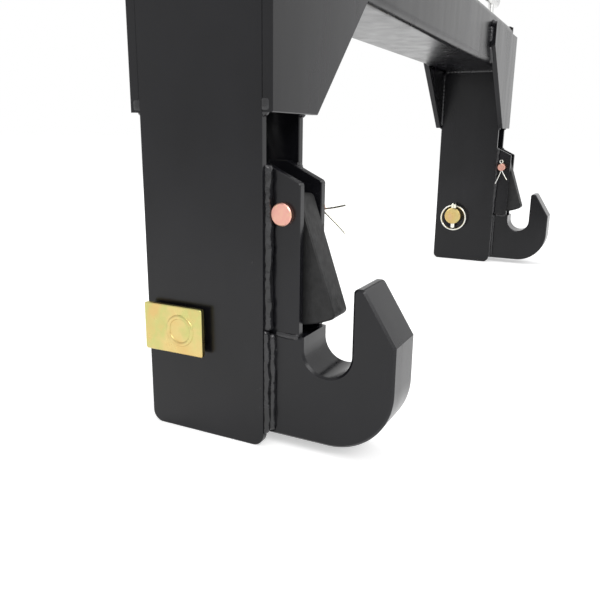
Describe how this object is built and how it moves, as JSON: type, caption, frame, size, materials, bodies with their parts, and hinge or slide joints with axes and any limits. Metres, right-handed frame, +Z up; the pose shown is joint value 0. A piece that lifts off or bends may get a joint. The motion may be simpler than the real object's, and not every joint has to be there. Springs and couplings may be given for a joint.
{
  "type": "three point quick hitch",
  "caption": "Inverted-U tractor quick hitch frame with latched lower hooks, bolted top hook, pull-up release rods and pinned link sockets.",
  "frame": {"origin": "on the ground, midway between the legs, and midway between the backs of the lower hooks and the front faces of the front gussets", "axes": "+Z up, +Y forwards to the tractor, +X to the right seen from the implement behind"},
  "size_m": [0.932, 0.2048, 0.575],
  "materials": {
    "black_paint": "semi-gloss black paint",
    "weld_black": "weld bead under semi-gloss black paint",
    "latch_black": "matt black, flame-cut edge",
    "yellow_zinc": "yellow zinc plate",
    "bright_zinc": "bright zinc plate",
    "rod_zinc": "bright zinc plate",
    "spring_steel": "plain spring steel",
    "grip_vinyl": "dipped vinyl grip"
  },
  "bodies": {
    "frame": {"cross_beam": "black_paint", "left_outer_leg_plate": "black_paint", "left_inner_leg_plate": "black_paint", "left_rear_gusset": "black_paint", "left_front_gusset": "black_paint", "left_lower_hook": "black_paint", "left_latch_ears": "black_paint", "left_latch_stop": "black_paint", "left_hook_welds": "weld_black", "left_latch_pivot_pin": "yellow_zinc", "left_latch_cotter": "bright_zinc", "left_rod_guide": "black_paint", "left_return_spring": "spring_steel", "left_mast_plate": "black_paint", "right_outer_leg_plate": "black_paint", "right_inner_leg_plate": "black_paint", "right_rear_gusset": "black_paint", "right_front_gusset": "black_paint", "right_lower_hook": "black_paint", "right_latch_ears": "black_paint", "right_latch_stop": "black_paint", "right_hook_welds": "weld_black", "right_latch_pivot_pin": "yellow_zinc", "right_latch_cotter": "bright_zinc", "right_rod_guide": "black_paint", "right_return_spring": "spring_steel", "right_mast_plate": "black_paint", "top_hook": "black_paint", "top_hook_bolts": "yellow_zinc", "top_hook_nuts": "yellow_zinc", "top_hook_washers": "yellow_zinc", "top_hook_spacers": "bright_zinc"},
    "left_latch": {"left_latch_pawl": "latch_black"},
    "left_release": {"left_release_rod": "rod_zinc", "left_handle_grip": "grip_vinyl", "left_spring_washer": "bright_zinc", "left_spring_retainer": "bright_zinc"},
    "left_link_pin": {"left_lower_link_pin": "yellow_zinc", "left_link_pin_flag": "yellow_zinc", "left_lynch_pin": "bright_zinc"},
    "left_lynch_ring": {"left_lynch_ring": "bright_zinc"},
    "right_latch": {"right_latch_pawl": "latch_black"},
    "right_release": {"right_release_rod": "rod_zinc", "right_handle_grip": "grip_vinyl", "right_spring_washer": "bright_zinc", "right_spring_retainer": "bright_zinc"},
    "right_link_pin": {"right_lower_link_pin": "yellow_zinc", "right_link_pin_flag": "yellow_zinc", "right_lynch_pin": "bright_zinc"},
    "right_lynch_ring": {"right_lynch_ring": "bright_zinc"},
    "top_link_pin": {"top_link_pin": "yellow_zinc", "top_link_lynch_pin": "bright_zinc"},
    "top_lynch_ring": {"top_link_lynch_ring": "bright_zinc"}
  },
  "joints": [
    {"name": "left_latch_pivot", "type": "hinge", "parent": "frame", "child": "left_latch", "pos_m": [-0.4125, -0.018, 0.172], "axis": [1, 0, 0], "range_deg": [0, 22]},
    {"name": "left_release_slide", "type": "slide", "parent": "frame", "child": "left_release", "axis": [0, 0, 1], "range_m": [0, 0.0187], "stiffness_N_per_m": 2000, "springref_m": -0.02, "deforming": ["left_return_spring"]},
    {"name": "left_link_pin_turn", "type": "hinge", "parent": "frame", "child": "left_link_pin", "pos_m": [-0.4125, 0.0588, 0.0825], "axis": [1, 0, 0], "continuous": true},
    {"name": "left_lynch_ring_flip", "type": "hinge", "parent": "left_link_pin", "child": "left_lynch_ring", "pos_m": [-0.3704, 0.0588, 0.1008], "axis": [0, -1, 0], "range_deg": [0, 180]},
    {"name": "right_latch_pivot", "type": "hinge", "parent": "frame", "child": "right_latch", "pos_m": [0.4125, -0.018, 0.172], "axis": [1, 0, 0], "range_deg": [0, 22]},
    {"name": "right_release_slide", "type": "slide", "parent": "frame", "child": "right_release", "axis": [0, 0, 1], "range_m": [0, 0.0187], "stiffness_N_per_m": 2000, "springref_m": -0.02, "deforming": ["right_return_spring"]},
    {"name": "right_link_pin_turn", "type": "hinge", "parent": "frame", "child": "right_link_pin", "pos_m": [0.4125, 0.0588, 0.0825], "axis": [1, 0, 0], "continuous": true},
    {"name": "right_lynch_ring_flip", "type": "hinge", "parent": "right_link_pin", "child": "right_lynch_ring", "pos_m": [0.3704, 0.0588, 0.1008], "axis": [0, 1, 0], "range_deg": [0, 180]},
    {"name": "top_link_pin_turn", "type": "hinge", "parent": "frame", "child": "top_link_pin", "pos_m": [0, 0.0648, 0.545], "axis": [1, 0, 0], "continuous": true},
    {"name": "top_lynch_ring_flip", "type": "hinge", "parent": "top_link_pin", "child": "top_lynch_ring", "pos_m": [0.0517, 0.0648, 0.5617], "axis": [0, -1, 0], "range_deg": [0, 180]}
  ],
  "couplings": [
    {"joint": "left_release_slide", "follows": "left_latch_pivot", "m_per_rad": 0.0484},
    {"joint": "right_release_slide", "follows": "right_latch_pivot", "m_per_rad": 0.0484}
  ]
}
